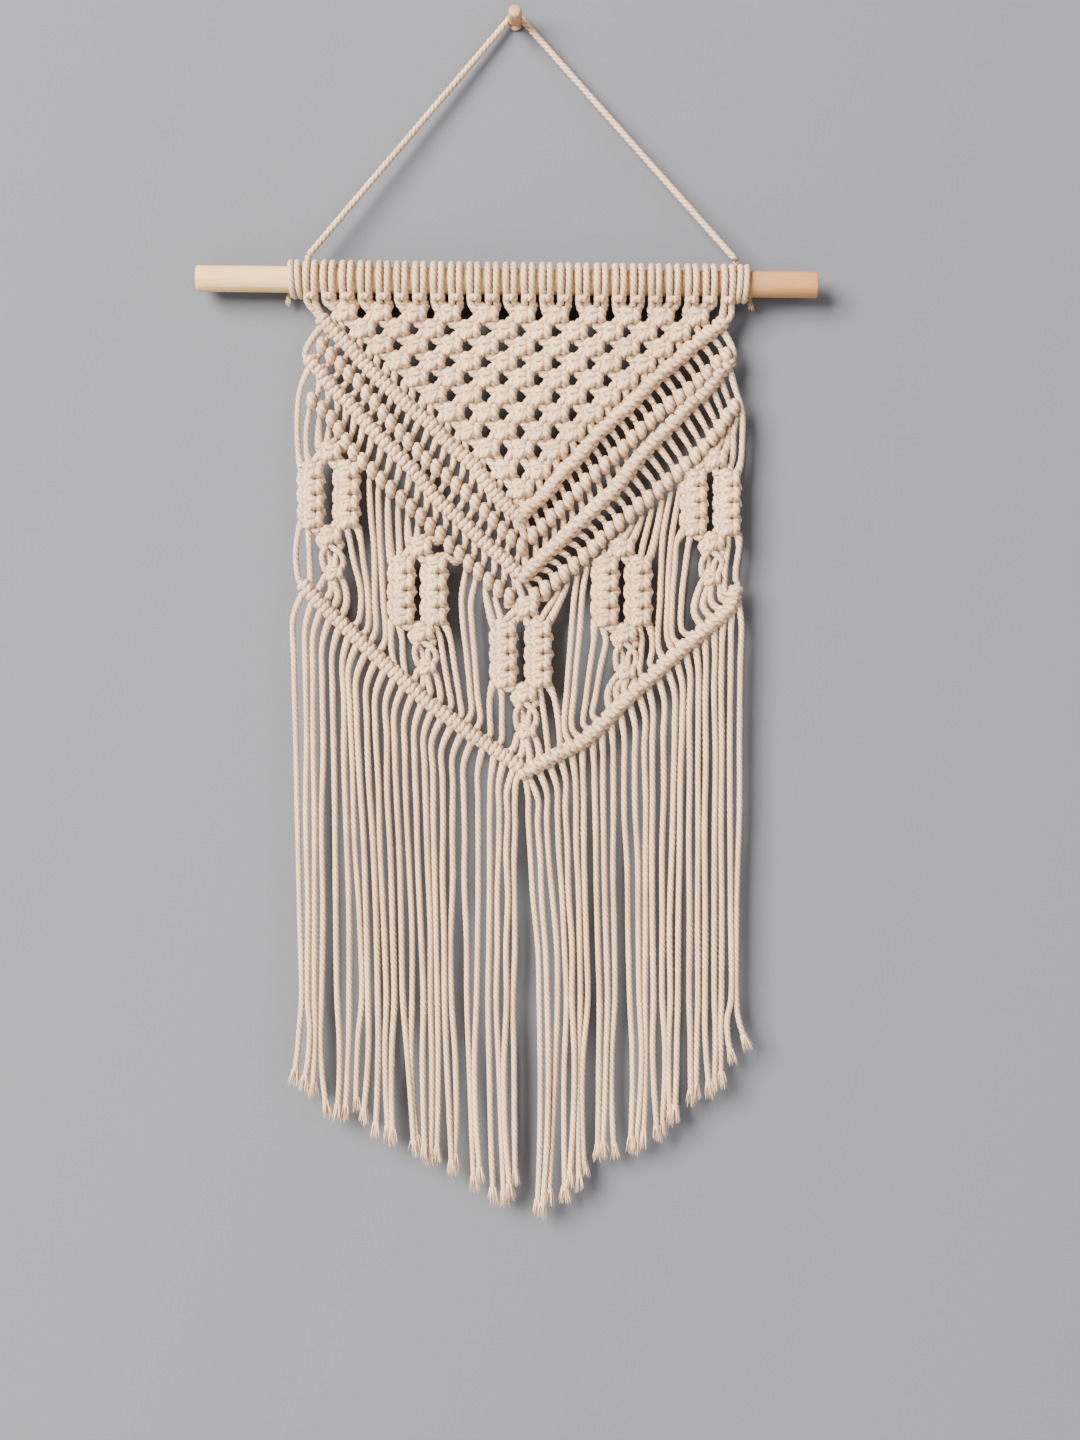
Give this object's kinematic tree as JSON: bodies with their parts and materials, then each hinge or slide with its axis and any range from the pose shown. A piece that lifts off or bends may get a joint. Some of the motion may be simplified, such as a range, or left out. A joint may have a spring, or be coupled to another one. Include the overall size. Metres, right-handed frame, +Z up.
{
  "type": "macrame wall hanging with its dowel rod and wall peg",
  "caption": "Knotted cotton cord hanging with hitch bands, square-knot columns and a V-shaped fringe, on a wooden dowel hung by a cord from a peg.",
  "frame": {"origin": "middle of the wall peg's flat back face, on the wall", "axes": "+X to the right as seen from the room, +Y into the wall, +Z up; the work hangs straight down from the peg"},
  "size_m": [0.305, 0.0214, 0.5968],
  "materials": {
    "cotton_cord": "three-strand twisted natural cotton cord, matt, slightly fibrous",
    "dowel_wood": "pale sanded birch dowel, unvarnished",
    "peg_wood": "turned beech, smooth"
  },
  "bodies": {
    "root": {"dowel": "dowel_wood", "fringe_left": "cotton_cord", "fringe_right": "cotton_cord", "hanger_cord": "cotton_cord", "hanger_wraps_left": "cotton_cord", "hanger_wraps_right": "cotton_cord", "hitch_line_1_left": "cotton_cord", "hitch_line_1_right": "cotton_cord", "hitch_line_2_left": "cotton_cord", "hitch_line_2_right": "cotton_cord", "hitch_line_3_left": "cotton_cord", "hitch_line_3_right": "cotton_cord", "knot_band_1_left": "cotton_cord", "knot_band_1_right": "cotton_cord", "knot_band_2_left": "cotton_cord", "knot_band_2_right": "cotton_cord", "knot_net": "cotton_cord", "larks_head_row": "cotton_cord", "loose_cords_ab": "cotton_cord", "loose_cords_bc": "cotton_cord", "loose_cords_cd": "cotton_cord", "loose_cords_de": "cotton_cord", "motif_a_lead_left": "cotton_cord", "motif_a_lead_right": "cotton_cord", "motif_a_lower_knots": "cotton_cord", "motif_a_sennit_left": "cotton_cord", "motif_a_sennit_right": "cotton_cord", "motif_a_top_knot": "cotton_cord", "motif_a_upper_leads": "cotton_cord", "motif_b_lead_left": "cotton_cord", "motif_b_lead_right": "cotton_cord", "motif_b_lower_knots": "cotton_cord", "motif_b_sennit_left": "cotton_cord", "motif_b_sennit_right": "cotton_cord", "motif_b_top_knot": "cotton_cord", "motif_b_upper_leads": "cotton_cord", "motif_c_lead_left": "cotton_cord", "motif_c_lead_right": "cotton_cord", "motif_c_lower_knots": "cotton_cord", "motif_c_sennit_left": "cotton_cord", "motif_c_sennit_right": "cotton_cord", "motif_c_top_knot": "cotton_cord", "motif_c_upper_leads": "cotton_cord", "motif_d_lead_left": "cotton_cord", "motif_d_lead_right": "cotton_cord", "motif_d_lower_knots": "cotton_cord", "motif_d_sennit_left": "cotton_cord", "motif_d_sennit_right": "cotton_cord", "motif_d_top_knot": "cotton_cord", "motif_d_upper_leads": "cotton_cord", "motif_e_lead_left": "cotton_cord", "motif_e_lead_right": "cotton_cord", "motif_e_lower_knots": "cotton_cord", "motif_e_sennit_left": "cotton_cord", "motif_e_sennit_right": "cotton_cord", "motif_e_top_knot": "cotton_cord", "motif_e_upper_leads": "cotton_cord", "wall_peg": "peg_wood"}
  },
  "joints": []
}
